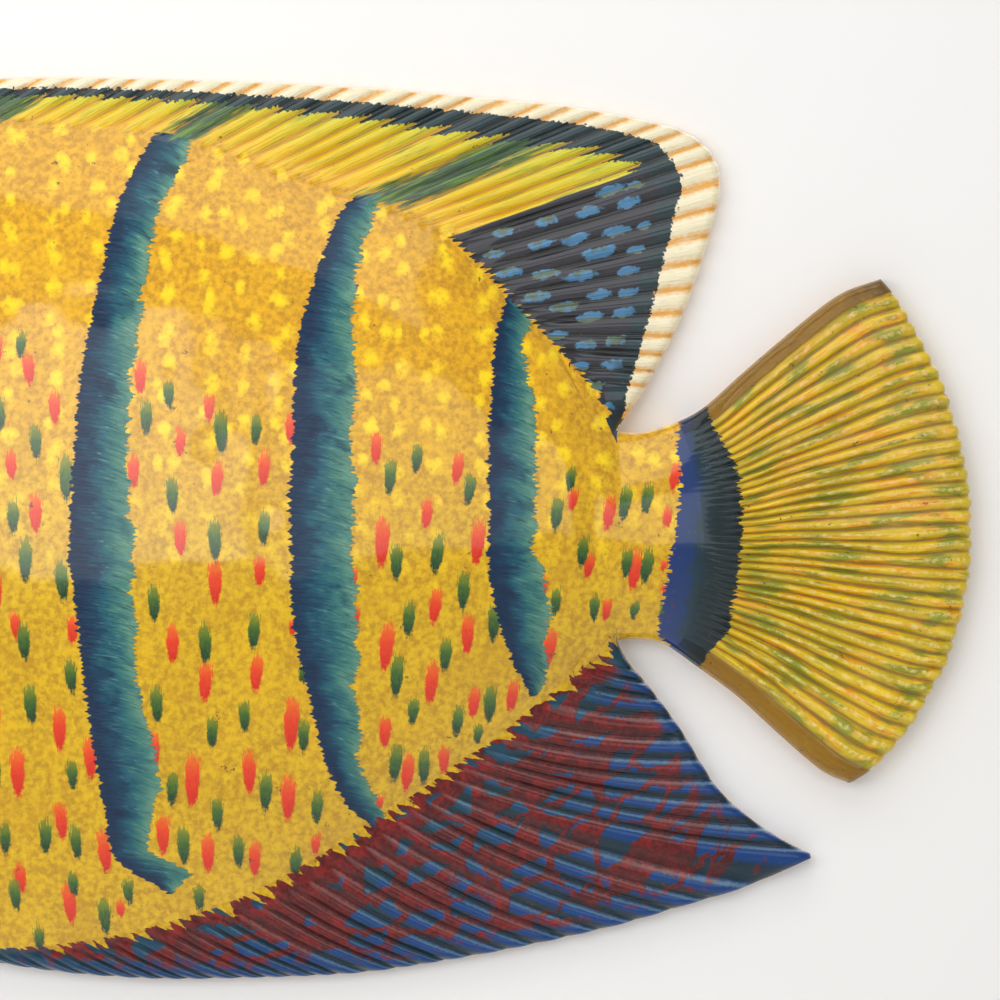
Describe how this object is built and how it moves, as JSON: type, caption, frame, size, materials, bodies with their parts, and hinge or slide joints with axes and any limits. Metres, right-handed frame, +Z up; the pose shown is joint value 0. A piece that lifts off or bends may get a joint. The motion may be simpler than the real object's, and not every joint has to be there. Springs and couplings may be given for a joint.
{
  "type": "carved wooden fish wall sculpture",
  "caption": "Tropical fish carved in relief from one board and painted in yellow, blue and green, with ribbed fins and a fan tail, made to hang flat on a wall.",
  "frame": {"origin": "on the flat back, behind the centre of mass", "axes": "+X from the head to the tail, +Y out of the flat back into the wall, +Z up; the carved face looks along -Y"},
  "size_m": [0.387, 0.0292, 0.2267],
  "materials": {
    "painted_wood": "hand-painted, glossy varnish",
    "bare_wood": "sawn and lightly sanded, unpainted back"
  },
  "bodies": {
    "root": {"fish": "painted_wood"}
  },
  "joints": []
}
